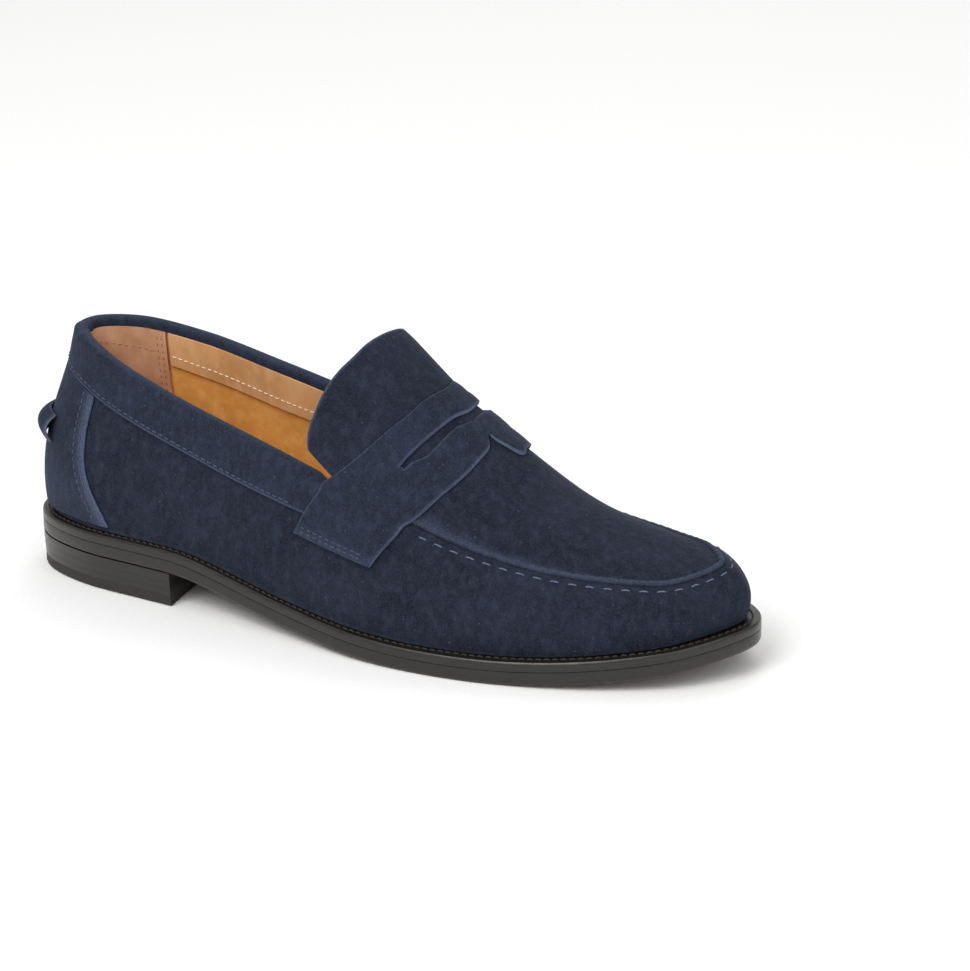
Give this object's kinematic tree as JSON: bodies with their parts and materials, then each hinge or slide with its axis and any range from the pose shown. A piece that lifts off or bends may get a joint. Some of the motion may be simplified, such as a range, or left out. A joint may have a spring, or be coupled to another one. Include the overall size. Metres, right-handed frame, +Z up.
{
  "type": "penny loafer",
  "caption": "Right-foot penny loafer in suede with a slotted saddle strap over a sewn apron, a free tongue flap, a rounded collar and a stacked heel.",
  "frame": {"origin": "middle of the heel's ground face", "axes": "+X from heel to toe, +Y to the inner (medial) side, +Z up"},
  "size_m": [0.3012, 0.104, 0.1126],
  "materials": {
    "navy_suede": "brushed nap",
    "navy_suede_light": "brushed nap, lighter",
    "navy_thread": "waxed thread",
    "welt_thread": "waxed thread",
    "cream_thread": "thread",
    "dark_sole_leather": "polished edge",
    "rubber_lift": "satin",
    "brass_nail": "satin",
    "cork": "granular",
    "shank_steel": "brushed",
    "insole_board": "matte",
    "tan_lining": "smooth",
    "ochre_lining": "fine nap",
    "pink_lining": "fine nap",
    "stiffener": "matte",
    "padding_foam": "soft foam"
  },
  "bodies": {
    "shoe": {"top_lift": "rubber_lift", "heel_lift_low": "dark_sole_leather", "heel_lift_mid": "dark_sole_leather", "heel_lift_high": "dark_sole_leather", "heel_nails": "brass_nail", "outsole": "dark_sole_leather", "welt": "dark_sole_leather", "welt_stitches": "welt_thread", "cork_filler": "cork", "shank": "shank_steel", "insole": "insole_board", "sock_lining": "ochre_lining", "heel_pad": "tan_lining", "vamp_wall": "navy_suede", "heel_counter": "stiffener", "toe_puff": "stiffener", "collar_padding": "padding_foam", "vamp_lining": "tan_lining", "quarter_lining": "ochre_lining", "heel_grip": "pink_lining", "heel_grip_stitches": "cream_thread", "facing_lateral": "tan_lining", "facing_medial": "tan_lining", "facing_stitches": "cream_thread", "collar_band": "navy_suede_light", "collar_stitches": "navy_thread", "topline_roll": "navy_suede_light", "heel_strip": "navy_suede_light", "heel_strip_stitches": "navy_thread", "pull_tab": "navy_suede", "apron": "navy_suede", "apron_lining": "tan_lining", "seam_ridge": "navy_suede", "apron_stitches": "navy_thread", "strap": "navy_suede_light", "strap_stitches": "navy_thread"},
    "tongue_flap": {"tongue": "navy_suede", "tongue_lining": "tan_lining"}
  },
  "joints": [
    {"name": "tongue_lift", "type": "hinge", "parent": "shoe", "child": "tongue_flap", "pos_m": [0.14, 0, 0.0935], "axis": [0, 1, 0], "range_deg": [0, 30], "stiffness_Nm_per_rad": 0.05}
  ]
}
